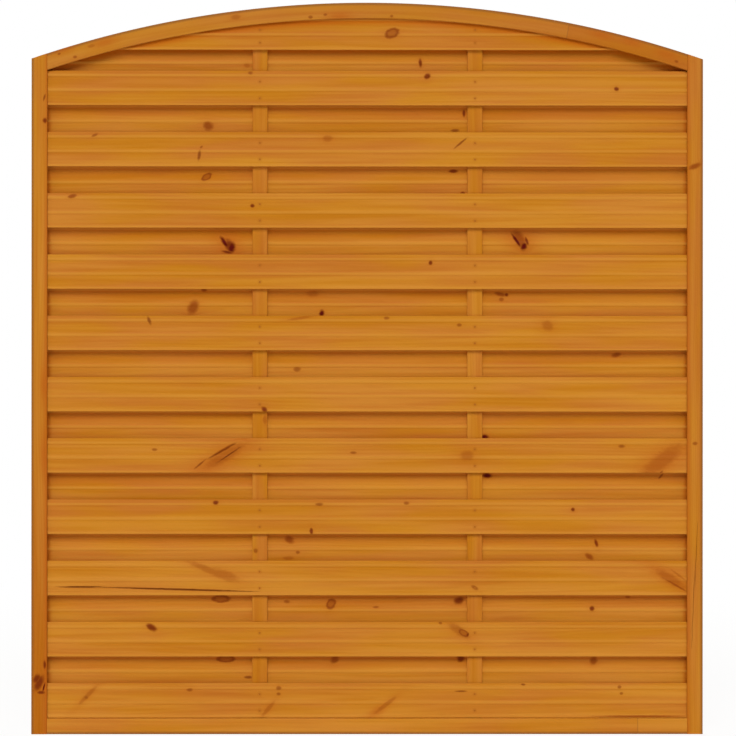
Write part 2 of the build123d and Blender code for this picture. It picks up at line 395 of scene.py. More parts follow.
class FenceSizes(PropertyGroup):
    """Sizes of the panel's pieces."""

    side_height: length("Side height", "Height of the panel's outer edges", 1.8)
    arch_rise: length("Arch rise", "Height of the arch's top above the outer edges", 0.15)
    frame_face: length("Frame face", "Width of a frame member, seen from the front", 0.042)
    frame_round: length("Frame rounding", "Radius of the frame's long edges", 0.0025)
    groove_depth: length("Groove depth", "Depth of the groove in the frame's inner side", 0.012)
    groove_width: length("Groove width", "Width of the groove in the frame's inner side", 0.0266)
    tenon_thickness: length("Tenon thickness", "Thickness of the stub tenons at the rails' ends", 0.0262)
    end_clearance: length("End clearance", "Gap between a slat's end and the groove's bottom", 0.001)
    end_round: length("End rounding", "Rounding of sawn ends", 0.0006)
    batten_round: length("Batten rounding", "Radius of the battens' long edges", 0.001)
    slat_round: length("Slat rounding", "Radius of the slats' long edges", 0.002)
    lowest_rib: length("Lowest rib", "Height of the lowest rib above the slat's lower edge", 0.002)
    rib_spacing: length("Rib spacing", "Distance between neighbouring ribs of a slat", 0.039)
    rib_width: length("Rib width", "Width of a rib", 0.013)
    rib_height: length("Rib height", "Height of a rib above the slat's flat fields", 0.0012)
    crack_depth: length("Crack depth", "Depth of the cracks below a piece's front", 0.0036)
    nail_spacing: length("Nail spacing", "Distance between the two nails of a crossing", 0.044)
    nail_edge: length("Nail edge distance", "Least distance of a nail from the arch's lip", 0.012)
    nail_head: length("Nail head", "Diameter of a nail's head", 0.005)
    nail_head_depth: length("Nail head depth", "Thickness of a nail's head", 0.0012)
    nail_shank: length("Nail shank", "Diameter of a nail's shank", 0.0022)
    nail_length: length("Nail length", "Length of a nail with its head", 0.014)
    nail_point: length("Nail point", "Length of a nail's point", 0.003)
    screw_head: length("Screw head", "Diameter of a screw's head", 0.0096)
    screw_head_depth: length("Screw head depth", "Height of a screw's countersunk head", 0.0046)
    screw_shank: length("Screw shank", "Diameter of a screw's shank", 0.005)
    screw_length: length("Screw length", "Length of a screw with its head", 0.08)
    screw_point: length("Screw point", "Length of a screw's point", 0.007)
    screw_sink: length("Screw sink", "Depth of a screw's head below the timber", 0.003)
    tip_radius: length("Tip radius", "Radius of the flat tip of nails and screws", 0.0003)


class FenceColours(PropertyGroup):
    """Colours of the stained wood and the steel."""

    gold: colour("Gold", "Yellower patches of the stained wood", from_srgb(200, 131, 25))
    rose: colour("Rose", "Pinker patches of the stained wood", from_srgb(198, 122, 43))
    # Honey also paints the highlight along the slats' rib crests
    honey: colour("Honey", "Light streaks of the stained wood", from_srgb(212, 146, 54))
    russet: colour("Russet", "Dark, red streaks of the stained wood", from_srgb(172, 88, 2))
    # Umber also paints the shade along the frame's outer edges
    umber: colour("Umber", "Dull tone of the frame and its edges", from_srgb(138, 88, 40))
    # Painted shade: darker, redder wood where lapping slats, the frame and the arch cast shade
    painted_shade: colour("Painted shade", "Wood under the edge of another slat", from_srgb(188, 92, 0))
    blush: colour("Blush", "Wood around knots and spikes", from_srgb(184, 92, 16))
    knot_brown: colour("Knot brown", "Knots' heartwood", from_srgb(150, 70, 5))
    knot_black: colour("Knot black", "Bark and cracks around knots", from_srgb(92, 10, 0))
    end_grain: colour("End grain", "Sawn ends, where the stain soaks in", from_srgb(140, 78, 24))
    steel: colour("Steel", "Nails and screws", from_srgb(176, 104, 22))


class FenceStage(PropertyGroup):
    """Camera and light."""

    camera_distance: length("Camera distance", "Distance of the camera from the panel's front", 7.0)
    camera_swing: angle("Camera swing", "How far the camera stands to the left", math.radians(0.35))
    camera_roll: angle("Camera roll", "How far the camera is tilted to the left", math.radians(-0.03))
    view_width: length("View width", "Width of the picture at the panel's front", 1.9615)
    aim_x: FloatProperty(
        name="Aim sideways",
        description="Where the camera looks, from the middle",
        default=0.0016,
        unit="LENGTH",
        precision=4,
    )
    aim_height: length("Aim height", "Height that the camera looks at", (PHOTO_GROUND - 368) * PHOTO_PIXEL)
    key_strength: strength("Key strength", "Strength of the light from the front", 1.98)
    back_strength: strength("Back strength", "Strength of the light from behind", 1.3)
    key_height: angle("Key height", "Height of the lights above the horizon", math.radians(42))
    key_side: angle("Key side", "How far the lights stand to the left", math.radians(3))
    key_spread: angle("Key spread", "Apparent width of the lights, which softens shadows", math.radians(30))
    sky_colour: colour("Sky colour", "Colour of the even light", (1.0, 0.82, 0.6))
    sky_strength: strength("Sky strength", "Strength of the even light", 0.25)


class Signal:
    """A number that varies over a surface: an output of a material's nodes, with arithmetic."""

    def __init__(self, finish, socket):
        self.finish = finish
        self.socket = socket

    def math(self, operation, *others):
        """The result of a Math node on this number and others."""
        inputs = dict(enumerate((self, *others)))
        return self.finish.node("ShaderNodeMath", {"operation": operation}, inputs)

    def swapped(self, operation, first):
        """The result of a Math node with this number in second place."""
        return self.finish.node("ShaderNodeMath", {"operation": operation}, {0: first, 1: self})

    def __add__(self, other):
        return self.math("ADD", other)

    def __sub__(self, other):
        return self.math("SUBTRACT", other)

    def __mul__(self, other):
        return self.math("MULTIPLY", other)

    def __truediv__(self, other):
        return self.math("DIVIDE", other)

    def __pow__(self, other):
        return self.math("POWER", other)

    def __rsub__(self, other):
        return self.swapped("SUBTRACT", other)

    def __rtruediv__(self, other):
        return self.swapped("DIVIDE", other)

    __radd__ = __add__
    __rmul__ = __mul__


class Finish:
    """A material or a world under construction, with one method that adds any node."""

    def __init__(self, owner):
        self.owner = owner
        self.owner.use_nodes = True
        self.tree = self.owner.node_tree
        self.tree.nodes.clear()

    def node(self, kind, settings=None, inputs=None, output=0):
        """Adds a node with its settings, then its sockets' values or links, and gives one output."""
        made = self.tree.nodes.new(kind)
        for setting, value in (settings or {}).items():
            setattr(made, setting, value)
        for socket, value in (inputs or {}).items():
            if isinstance(value, Signal):
                self.tree.links.new(value.socket, made.inputs[socket])
            else:
                made.inputs[socket].default_value = value
        return Signal(self, made.outputs[output] if made.outputs else None)

    def noise(self, place, detail=2.0, roughness=0.5):
        """Smooth noise from 0 to 1 at a place that is already scaled."""
        inputs = {"Vector": place, "Scale": 1.0, "Detail": detail, "Roughness": roughness}
        return self.node("ShaderNodeTexNoise", inputs=inputs)

    def grain_noise(self, axes, stretch, offset, detail=2.0):
        """Smooth noise from -0.5 to 0.5, stretched along the grain."""
        along, across, through = (axis * times for axis, times in zip(axes, stretch))
        return self.noise(self.place(along + offset, across, through), detail) - 0.5

    def place(self, x, y, z):
        """A place from three numbers."""
        return self.node("ShaderNodeCombineXYZ", inputs={0: x, 1: y, 2: z})

    def step(self, value, start, end):
        """A soft step that rises from 0 to 1 as a value goes from start to end."""
        settings = {"interpolation_type": "SMOOTHSTEP"}
        inputs = {"Value": value, "From Min": start, "From Max": end}
        return self.node("ShaderNodeMapRange", settings, inputs)

    def mix(self, share, first, second):
        """A colour between two others."""
        second = second if isinstance(second, Signal) else (*second, 1)
        first = first if isinstance(first, Signal) else (*first, 1)
        settings = {"data_type": "RGBA", "clamp_factor": True}
        return self.node("ShaderNodeMix", settings, {0: share, 6: first, 7: second}, output=2)

    def close(self, base, roughness, height, bump_depth, **fixed):
        """Ends the material in one shader, with the height as bump and other sockets at fixed values."""
        relief = {"Height": height, "Distance": bump_depth, "Strength": 1.0}
        bump = self.node("ShaderNodeBump", inputs=relief)
        inputs = {"Base Color": base, "Roughness": roughness, "Normal": bump, **fixed}
        shader = self.node("ShaderNodeBsdfPrincipled", inputs=inputs)
        self.node("ShaderNodeOutputMaterial", inputs={"Surface": shader})
        return self.owner


def panel_axes(finish):
    """The panel's three coordinates as numbers."""
    place = finish.node("ShaderNodeTexCoord", output="Object")
    return tuple(finish.node("ShaderNodeSeparateXYZ", inputs={0: place}, output=axis) for axis in range(3))


def level_grain(finish):
    """Coordinates along, across and through a level piece."""
    x, y, z = panel_axes(finish)
    return x, z, y


def upright_grain(finish):
    """Coordinates along, across and through an upright piece."""
    x, y, z = panel_axes(finish)
    return z, x, y


def arched_grain(finish):
    """Coordinates along, across and through the arch, following its curve."""
    radius, centre = arch_circle()
    x, y, z = panel_axes(finish)
    rise = z - centre
    turn = x.math("ARCTAN2", rise)
    reach = (x * x + rise * rise).math("SQRT")
    return turn * radius, reach + centre, y


def photo_place(column, row):
    """The place that a pixel of the photograph shows, in metres from the panel's middle and the ground."""
    return (column - PHOTO_MIDDLE) * PHOTO_PIXEL, (PHOTO_GROUND - row) * PHOTO_PIXEL


def along_and_across(x, z, grain):
    """Where a place on the panel lies along and across the grain of its piece, in metres."""
    if grain is upright_grain:
        return z, x
    if grain is arched_grain:
        radius, centre = arch_circle()
        return math.atan2(x, z - centre) * radius, math.hypot(x, z - centre) + centre
    return x, z


class Marks:
    """The knots, nail stains and other marks of one piece, as numbers that vary over it."""

    def __init__(self, finish, node, grain, axes, offset):
        along, across, through = axes
        self.heart = self.dark = self.glow = 0.0
        self.bent = across
        rough = finish.grain_noise(axes, KNOT_EDGE, offset)
        for knot in KNOTS.get(node, ()):
            look = LOOKS[knot.look]
            knot_along, knot_across = along_and_across(*photo_place(knot.column, knot.row), grain)
            turn = math.radians(knot.turn)
            u = along - knot_along
            v = across - knot_across
            p = (u * math.cos(turn) + v * math.sin(turn)) / (knot.long * MM)
            q = (v * math.cos(turn) - u * math.sin(turn)) / (knot.wide * MM)
            far = (p * p + q * q).math("SQRT") + rough * 0.5
            spread = (far * far * -0.35).math("EXPONENT")
            inside = (1 - finish.step(far, *HEART_END)) * look.heart
            core = (1 - finish.step(far, *CORE_END)) * look.dark
            rim = finish.step(far, *RIM_START) * (1 - finish.step(far, *RIM_END)) * look.rim
            self.bent = self.bent - v * spread * look.bend
            self.heart = inside.math("MAXIMUM", rim).math("MAXIMUM", self.heart)
            self.dark = core.math("MAXIMUM", rim * 0.3).math("MAXIMUM", self.dark)
            self.glow = (spread * look.glow).math("MAXIMUM", self.glow)
        if node in FRONT_SLATS + BACK_SLATS:
            batten_low, batten_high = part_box("right_batten")
            lower, upper = nail_heights(node)
            u = along.math("ABSOLUTE") - (batten_low.x + batten_high.x) / 2
            v = (across - (lower + upper) / 2).math("ABSOLUTE") - (upper - lower) / 2
            far = (u * u + v * v).math("SQRT") + rough * (2 * MM)
            self.heart = ((1 - finish.step(far, 2 * MM, 9 * MM)) * 0.2).math("MAXIMUM", self.heart)


def painted_shade(finish, node, along, across, through):
    """How far a slat's wood is sheltered by the frame and by the other layer's slat that laps over it."""
    inward = 1 if node in FRONT_SLATS else -1
    above = BACK_SLATS if node in FRONT_SLATS else FRONT_SLATS[1:]
    below = FRONT_SLATS if node in FRONT_SLATS else BACK_SLATS
    low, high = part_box(node)
    edges = dict(zip(below, (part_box(slat)[0].z for slat in above)))
    edge = edges.get(node, high.z)
    inner_face = finish.step((through - (low.y + high.y) / 2) * inward, 0.0, 1 * MM)
    # Painted shade, strong just under the lapping slat's edge, weaker farther down, and beside the frame
    close_under = finish.step(across, edge - 17 * MM, edge - 1 * MM)
    far_under = finish.step(across, edge - 46 * MM, edge - 10 * MM) * 0.35
    under = close_under.math("MAXIMUM", far_under)
    frame_edge = CAD_BOX[1].x - bpy.context.scene.fence_sizes.frame_face
    beside = finish.step(along.math("ABSOLUTE"), frame_edge - 14 * MM, frame_edge) * 0.7
    shade_share = under.math("MAXIMUM", beside) * inner_face
    if node in (FRONT_SLATS[-1], BACK_SLATS[-1]):
        radius, centre = arch_circle()
        underside = radius - bpy.context.scene.fence_sizes.frame_face
        rise = across - centre
        reach = (along * along + rise * rise).math("SQRT")
        shade_share = shade_share.math("MAXIMUM", finish.step(reach, underside - 24 * MM, underside))
    return shade_share


def timber(name, node, grain, seed, outer=None):
    """Stained softwood with the growth rings, fibres and marks of one piece, soiled at its outer edge."""
    colours = bpy.context.scene.fence_colours
    chance = random.Random(seed)
    finish = Finish(bpy.data.materials.new(name))
    axes = along, across, through = grain(finish)
    low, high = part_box(node)
    middle = (low + high) / 2
    middle_across = {level_grain: middle.z, upright_grain: middle.x, arched_grain: high.z}[grain]
    offset = seed * 3.7
    board = BOARDS.get(node) or BOARDS.get(node.rsplit("_", 1)[0]) or Board()
    marks = Marks(finish, node, grain, axes, offset)

    # Growth rings about a pith that lies outside the piece and wanders along it
    pith_across = middle_across + chance.uniform(-0.03, 0.03)
    pith_through = middle.y + chance.choice((-1, 1)) * chance.uniform(0.025, 0.07)
    lean = chance.uniform(-0.02, 0.02)
    wander = (finish.noise(finish.place(along * 1.1 + offset, offset, 0.0), 1.0) - 0.5) * (60 * MM)
    ripple = finish.grain_noise(axes, RIPPLE, offset) * (6 * MM)
    ring_u = marks.bent - pith_across + wander
    ring_v = through - pith_through + along * lean
    ring = ((ring_u * ring_u + ring_v * ring_v).math("SQRT") + ripple) / chance.uniform(0.005, 0.008)
    season = ring.math("FRACT")
    late = finish.step(season, 0.2, 0.85) * (1 - finish.step(season, 0.88, 1.0))

    # Patches and streaks of stain along the fibres, from broad to fine
    bent_axes = along, marks.bent, through
    patch = finish.grain_noise(bent_axes, PATCH, offset, 1.0)
    broad = finish.grain_noise(bent_axes, BROAD_STREAK, offset)
    streak = finish.grain_noise(bent_axes, STREAK, offset)
    fibre = finish.grain_noise(bent_axes, FIBRE, offset)

    base = finish.mix(finish.step(patch, -0.2, 0.2), colours.gold, colours.rose)
    light = 0.15 + board.light + broad * 1.2 + streak * 1.1 + fibre * 0.2
    base = finish.mix(light, base, colours.honey)
    red = 0.05 + board.red + late * 0.1 - broad * 0.5 - streak * 0.4
    if board.fade:
        red = red + (1 - finish.step(along, low.z, high.z)) * board.fade
    base = finish.mix(red, base, colours.russet)
    if node in FRONT_SLATS + BACK_SLATS:
        # Painted shade on the slat's inner face, where the lapping slat, the frame and the arch shade it
        base = finish.mix(painted_shade(finish, node, *axes) * 0.85, base, colours.painted_shade)
        sizes = bpy.context.scene.fence_sizes
        # Painted highlight: honey along the ribs' crests stands in for the light that the crests catch
        rib = ((across - low.z - sizes.lowest_rib) / sizes.rib_spacing + 0.5).math("FRACT") - 0.5
        crest_highlight = 1 - finish.step(rib.math("ABSOLUTE") * sizes.rib_spacing, 1 * MM, 5 * MM)
        base = finish.mix(crest_highlight * 0.55, base, colours.honey)
    if node in FINGER_JOINTS:
        joint = along_and_across(*photo_place(FINGER_JOINTS[node], 0), grain)[0]
        far_length = finish.step(along, joint - 0.5 * MM, joint + 0.5 * MM)
        far_colour = colours.honey if grain is level_grain else colours.blush
        base = finish.mix(far_length * 0.3, base, far_colour)
        seam = 1 - finish.step((along - joint).math("ABSOLUTE"), 0.4 * MM, 2 * MM)
        base = finish.mix(seam * 0.4, base, colours.umber)
    if board.dull:
        base = finish.mix(board.dull, base, colours.umber)
    if outer is not None:
        # Painted shade: umber along the outer edge near the front and back faces stands in for the shade on
        # the rounded arris
        depth = high.y
        inwards = (across - outer).math("ABSOLUTE")
        near_face = finish.step(through.math("ABSOLUTE"), depth - 5 * MM, depth - 3 * MM)
        edge_shade = (1 - finish.step(inwards, 3 * MM, 10 * MM)) * near_face
        base = finish.mix(edge_shade * 0.7, base, colours.umber)
        if grain is upright_grain:
            inner_edge = finish.step(inwards, 28 * MM, 40 * MM)
            base = finish.mix(inner_edge * (streak + 0.5), base, colours.blush)
            facing = finish.node("ShaderNodeTexCoord", output="Normal")
            upward = finish.node("ShaderNodeSeparateXYZ", inputs={0: facing}, output=2)
            sawn = finish.step(upward.math("ABSOLUTE"), 0.6, 0.8)
            base = finish.mix(sawn * (0.5 + late * 0.3), base, colours.end_grain)
    base = finish.mix(marks.glow * 0.6, base, colours.blush)
    base = finish.mix(marks.heart, base, colours.knot_brown)
    base = finish.mix(marks.dark, base, colours.knot_black)

    grain_height = late * 0.2 + streak * 0.4 + fibre * 0.3
    roughness = 0.55 + streak * 0.15 + late * 0.05
    return finish.close(base, roughness, grain_height, 0.3 * MM, **{"Specular IOR Level": 0.07})


def steel(name):
    """Dull steel, browned by the stain that was brushed over it."""
    colours = bpy.context.scene.fence_colours
    finish = Finish(bpy.data.materials.new(name))
    x, y, z = panel_axes(finish)
    per_metre = 700
    patch = finish.noise(finish.place(x * per_metre, y * per_metre, z * per_metre), 3.0)
    base = finish.mix(finish.step(patch, 0.4, 0.8) * 0.6, colours.steel, colours.knot_brown)
    fixed = {"Metallic": 0.05, "Specular IOR Level": 0.15}
    return finish.close(base, patch * 0.3 + 0.45, patch, 0.2 * MM, **fixed)


def arch_circle():
    """Radius of the arch's outer edge and the height of its centre."""
    sizes = bpy.context.scene.fence_sizes
    half = (CAD_BOX[1].x - CAD_BOX[0].x) / 2
    radius = (half**2 + sizes.arch_rise**2) / (2 * sizes.arch_rise)
    return radius, sizes.side_height + sizes.arch_rise - radius


def arc_height(radius, x):
    """Height of an arc of this radius about the arch's centre, at a distance x from the middle."""
    return arch_circle()[1] + math.sqrt(radius**2 - x**2)


def on(value, plane):
    """Whether a coordinate lies on a plane."""
    return abs(value - plane) < TOUCH


def middle_of(element):
    """The middle of an edge or a face."""
    return sum((vertex.co for vertex in element.verts), Vector()) / len(element.verts)


def runs_along(edge, axis):
    """Whether an edge runs along an axis, 0 to 2."""
    way = edge.verts[1].co - edge.verts[0].co
    return abs(way[axis]) > 0.99 * way.length


def deselect_objects():
    """Leaves no object selected, and no object in edit mode."""
    if bpy.context.object and bpy.context.object.mode != "OBJECT":
        bpy.ops.object.mode_set(mode="OBJECT")
    bpy.ops.object.select_all(action="DESELECT")


def only(piece):
    """Makes a piece the one selected object."""
    deselect_objects()
    piece.select_set(True)
    bpy.context.view_layer.objects.active = piece


def name_new(name):
    """Names the object that was just added, with its place in its mesh."""
    piece = bpy.context.object
    piece.name = name
    piece.data.name = name
    bpy.ops.object.transform_apply(location=True, rotation=True, scale=True)
    return piece


def box_start(name, low, high):
    """A box between two corners, as the start of a piece, in edit mode."""
    deselect_objects()
    bpy.ops.mesh.primitive_cube_add(size=1, location=(low + high) / 2, scale=high - low)
    piece = name_new(name)
    bpy.ops.object.mode_set(mode="EDIT")
    return piece


def pick(piece, kind, test):
    """Selects in edit mode those vertices, edges or faces of a piece that pass a test, and nothing else."""
    bpy.ops.mesh.select_mode(type=kind)
    bpy.ops.mesh.select_all(action="DESELECT")
    mesh = bmesh.from_edit_mesh(piece.data)
    elements = {"VERT": mesh.verts, "EDGE": mesh.edges, "FACE": mesh.faces}[kind]
    for element in [element for element in elements if test(element)]:
        element.select_set(True)
    bmesh.update_edit_mesh(piece.data)


def slice_at(axis, *planes):
    """Cuts new edges through the whole piece at planes across an axis."""
    for plane in planes:
        bpy.ops.mesh.select_all(action="SELECT")
        place = Vector()
        normal = Vector()
        place[axis] = plane
        normal[axis] = 1
        bpy.ops.mesh.bisect(plane_co=place, plane_no=normal)


def trim_at(axis, plane, keep):
    """Saws the piece off square at a plane across an axis. Keep is the side that stays, -1 or 1."""
    bpy.ops.mesh.select_all(action="SELECT")
    place = Vector()
    normal = Vector()
    place[axis] = plane
    normal[axis] = -keep
    bpy.ops.mesh.bisect(plane_co=place, plane_no=normal, use_fill=True, clear_outer=True)


def tidy_mesh():
    """Merges doubled vertices, turns all faces outwards and leaves edit mode."""
    bpy.ops.mesh.select_all(action="SELECT")
    bpy.ops.mesh.remove_doubles(threshold=TOUCH)
    bpy.ops.mesh.normals_make_consistent(inside=False)
    bpy.ops.object.mode_set(mode="OBJECT")


def cut(piece, tool, operation="DIFFERENCE"):
    """Cuts a piece with another object, which stays."""
    only(piece)
    bpy.ops.object.modifier_add(type="BOOLEAN")
    modifier = piece.modifiers[-1]
    modifier.operation = operation
    modifier.object = tool
    bpy.ops.object.modifier_apply(modifier=modifier.name)


def discard(*tools):
    """Removes objects that were only needed for cutting or copying."""
    for tool in tools:
        bpy.data.objects.remove(tool)


def copy_of(piece, name, shift):
    """A copy of a piece with its own mesh, moved by a shift."""
    only(piece)
    bpy.ops.object.duplicate()
    bpy.ops.transform.translate(value=shift)
    return name_new(name)


def joined(name, pieces):
    """One object of several."""
    only(pieces[0])
    for piece in pieces:
        piece.select_set(True)
    bpy.ops.object.join()
    return name_new(name)


def round_ends(piece, axis, ends, radius):
    """Rounds the sawn edges of a piece along an axis, beyond two coordinates near its ends."""
    only(piece)
    bpy.ops.object.mode_set(mode="EDIT")
    low, high = ends

    def is_sawn(edge):
        place = middle_of(edge)[axis]
        at_end = place <= low or place >= high
        return at_end and not runs_along(edge, axis) and edge.calc_face_angle(0) > 1

    pick(piece, "EDGE", is_sawn)
    bpy.ops.mesh.bevel(offset=radius, segments=2, affect="EDGES")
    tidy_mesh()


def finish_piece(piece, material, slot, *nodes):
    """Gives a finished piece its material and puts it in place of its nodes of the frame."""
    only(piece)
    bpy.ops.object.shade_smooth_by_angle(angle=SMOOTH_ANGLE)
    piece.data.materials.clear()
    piece.data.materials.append(material)
    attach(piece, "root")
    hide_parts(*nodes)


def arch_disc(radius):
    """A disc about the arch's centre, deeper than the frame, for cutting to an arc."""
    deselect_objects()
    bpy.ops.mesh.primitive_cylinder_add(
        vertices=1024,
        radius=radius,
        depth=2 * (CAD_BOX[1].y - CAD_BOX[0].y),
        location=(0, 0, arch_circle()[1]),
        rotation=(math.pi / 2, 0, 0),
    )
    return name_new("arch_disc")


def frame_section(name, location, turn):
    """Section of a frame member, its groove open towards +X until it is turned, selected in edit mode."""
    sizes = bpy.context.scene.fence_sizes
    face = sizes.frame_face
    depth = CAD_BOX[1].y - CAD_BOX[0].y
    deselect_objects()
    bpy.ops.mesh.primitive_plane_add(size=1)
    bpy.ops.transform.resize(value=(face, depth, 1))
    piece = name_new(name)
    bpy.ops.object.mode_set(mode="EDIT")
    groove_bottom = face / 2 - sizes.groove_depth
    slice_at(1, -sizes.groove_width / 2, sizes.groove_width / 2)
    slice_at(0, groove_bottom)

    def in_groove(face):
        middle = middle_of(face)
        return middle.x > groove_bottom and abs(middle.y) < sizes.groove_width / 2

    pick(piece, "FACE", in_groove)
    bpy.ops.mesh.delete(type="FACE")
    pick(piece, "VERT", lambda v: on(abs(v.co.x), face / 2) and on(abs(v.co.y), depth / 2))
    bpy.ops.mesh.bevel(offset=sizes.frame_round, segments=4, affect="VERTICES")
    bpy.ops.object.mode_set(mode="OBJECT")
    piece.location = location
    piece.rotation_euler = turn
    bpy.ops.object.transform_apply(location=True, rotation=True, scale=True)
    bpy.ops.object.mode_set(mode="EDIT")
    bpy.ops.mesh.select_all(action="SELECT")
    return piece


def shoulder_cutters():
    """Blocks that cut the shoulders beside the tenons at both ends of a rail."""
    sizes = bpy.context.scene.fence_sizes
    shoulder = CAD_BOX[1].x - sizes.frame_face
    blocks = []
    for end in SIDES.values():
        for face in (FRONT, BACK):
            near = Vector((end * shoulder, face * sizes.tenon_thickness / 2, -1))
            far = Vector((end * CAD_BOX[1].x, face * sizes.frame_face, 3))
            low = Vector(map(min, near, far))
            high = Vector(map(max, near, far))
            blocks.append(box_start("shoulder", low, high))
            bpy.ops.object.mode_set(mode="OBJECT")
    return joined("shoulders", blocks)


def screw_places():
    """Where each corner screw's head is and where it points: level into the lower rail, along the arch."""
    sizes = bpy.context.scene.fence_sizes
    core_radius = arch_circle()[0] - (sizes.frame_face - sizes.groove_depth) / 2
    outer = CAD_BOX[1].x
    inner = outer - sizes.frame_face
    slope = math.asin(inner / core_radius)
    top = arc_height(core_radius, inner) - sizes.frame_face * math.tan(slope)
    low = (sizes.frame_face - sizes.groove_depth) / 2
    places = []
    for side in SIDES.values():
        for height, rise in ((low, 0.0), (top, slope)):
            way = Vector((-side * math.cos(rise), 0, math.sin(rise)))
            places.append((Vector((side * outer, 0, height)) + way * sizes.screw_sink, way))
    return places


def rib_crests(bottom):
    """Heights of the three ribs of a slat with its lower edge at this height."""
    sizes = bpy.context.scene.fence_sizes
    return [bottom + sizes.lowest_rib + number * sizes.rib_spacing for number in range(3)]


def nail_heights(slat):
    """Heights of the two nails at each crossing of a slat, on both sides of its second rib."""
    sizes = bpy.context.scene.fence_sizes
    middle = rib_crests(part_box(slat)[0].z)[1]
    lip = arc_height(arch_circle()[0] - sizes.frame_face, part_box("right_batten")[1].x)
    return middle - sizes.nail_spacing / 2, min(middle + sizes.nail_spacing / 2, lip - sizes.nail_edge)


def nail_places(slats):
    """Where the heads of the slats' nails lie, on the slats' flat fields."""
    sizes = bpy.context.scene.fence_sizes
    places = []
    for slat in slats:
        low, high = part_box(slat)
        field = low.y + sizes.rib_height if slat in FRONT_SLATS else high.y - sizes.rib_height
        for side in SIDES:
            batten_low, batten_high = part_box(f"{side}_batten")
            x = (batten_low.x + batten_high.x) / 2
            places += [Vector((x, field, height)) for height in nail_heights(slat)]
    return places


def crack_cutter(crack, face, depth, chance):
    """A thin wedge for cutting a crack into a front face, wavy and tapered to both ends."""
    start = Vector(photo_place(crack.from_column, crack.from_row))
    end = Vector(photo_place(crack.to_column, crack.to_row))
    way = end - start
    steps = 12
    waver = 0.7 * MM
    half = Vector((0, depth, crack.width / 2 * MM))
    piece = box_start("crack", -half, half + Vector((way.length, 0, 0)))
    places = [way.length * step / steps for step in range(steps + 1)]
    slice_at(0, *places[1:-1])
    for step, place in enumerate(places):
        pick(piece, "VERT", lambda v: on(v.co.x, place))
        taper = math.sin(math.pi * (0.05 + 0.9 * step / steps))
        bpy.ops.transform.resize(value=(1, 1, taper), center_override=(place, 0, 0))
        bpy.ops.transform.translate(value=(0, 0, chance.uniform(-waver, waver)))
    tidy_mesh()
    piece.rotation_euler = (0, -math.atan2(way.y, way.x), 0)
    piece.location = (start.x, face, start.y)
    return name_new("crack")


def crack_piece(piece, node):
    """Cuts a piece's cracks into its front face."""
    sizes = bpy.context.scene.fence_sizes
    for number, crack in enumerate(CRACKS.get(node, ())):
        cutter = crack_cutter(crack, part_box(node)[0].y, sizes.crack_depth, random.Random(number))
        cut(piece, cutter)
        discard(cutter)


class FENCE_OT_stiles(Operator):
    """Models the two grooved uprights of the frame, cut to the arch at the top"""

    bl_idname = "fence.stiles"
    bl_label = "Stiles"

    def execute(self, context):
        sizes = context.scene.fence_sizes
        disc = arch_disc(arch_circle()[0])
        bore = screw_cutters()
        for seed, (word, side) in enumerate(SIDES.items(), start=1):
            node = f"{word}_stile"
            low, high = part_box(node)
            turn = (0, 0, 0 if side < 0 else math.pi)
            piece = frame_section(f"stile_{word}", ((low.x + high.x) / 2, 0, 0), turn)
            rise = (0, 0, high.z + sizes.frame_face)
            bpy.ops.mesh.extrude_region_move(TRANSFORM_OT_translate={"value": rise})
            tidy_mesh()
            cut(piece, disc, "INTERSECT")
            round_ends(piece, 2, (TOUCH, low.z + sizes.side_height - TOUCH), sizes.end_round)
            cut(piece, bore)
            crack_piece(piece, node)
            outer = high.x if side > 0 else low.x
            wood = timber(f"stile_{word}", node, upright_grain, seed, outer)
            finish_piece(piece, wood, "frame_wood", node)
        discard(disc, bore)
        return {"FINISHED"}


class FENCE_OT_bottom_rail(Operator):
    """Models the lower rail of the frame, with its groove and stub tenons"""

    bl_idname = "fence.bottom_rail"
    bl_label = "Bottom rail"

    def execute(self, context):
        sizes = context.scene.fence_sizes
        low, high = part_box("bottom_rail")
        turn = (0, -math.pi / 2, 0)
        piece = frame_section("rail_bottom", (low.x, 0, sizes.frame_face / 2), turn)
        bpy.ops.mesh.extrude_region_move(TRANSFORM_OT_translate={"value": (high.x - low.x, 0, 0)})
        tidy_mesh()
        shoulders = shoulder_cutters()
        cut(piece, shoulders)
        discard(shoulders)
        wood = timber("rail_bottom", "bottom_rail", level_grain, 3, low.z)
        finish_piece(piece, wood, "frame_wood", "bottom_rail")
        return {"FINISHED"}


class FENCE_OT_arch_rail(Operator):
    """Models the curved upper rail of the frame, with its groove and stub tenons"""

    bl_idname = "fence.arch_rail"
    bl_label = "Arch rail"

    steps: IntProperty(name="Steps", description="Straight steps in the arch's curve", default=120, min=24)

    def execute(self, context):
        sizes = context.scene.fence_sizes
        radius, centre = arch_circle()
        low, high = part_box("arch_rail")
        reach = math.asin(CAD_BOX[1].x / (radius - sizes.frame_face))
        middle = radius - sizes.frame_face / 2
        start = (-middle * math.sin(reach), 0, centre + middle * math.cos(reach))
        piece = frame_section("rail_arch", start, (0, math.pi / 2 - reach, 0))
        bpy.ops.mesh.spin(steps=self.steps, angle=-2 * reach, center=(0, 0, centre), axis=(0, 1, 0))
        trim_at(0, low.x, 1)
        trim_at(0, high.x, -1)
        tidy_mesh()
        shoulders = shoulder_cutters()
        cut(piece, shoulders)
        discard(shoulders)
        wood = timber("rail_arch", "arch_rail", arched_grain, 4, high.z)
        finish_piece(piece, wood, "frame_wood", "arch_rail")
        return {"FINISHED"}


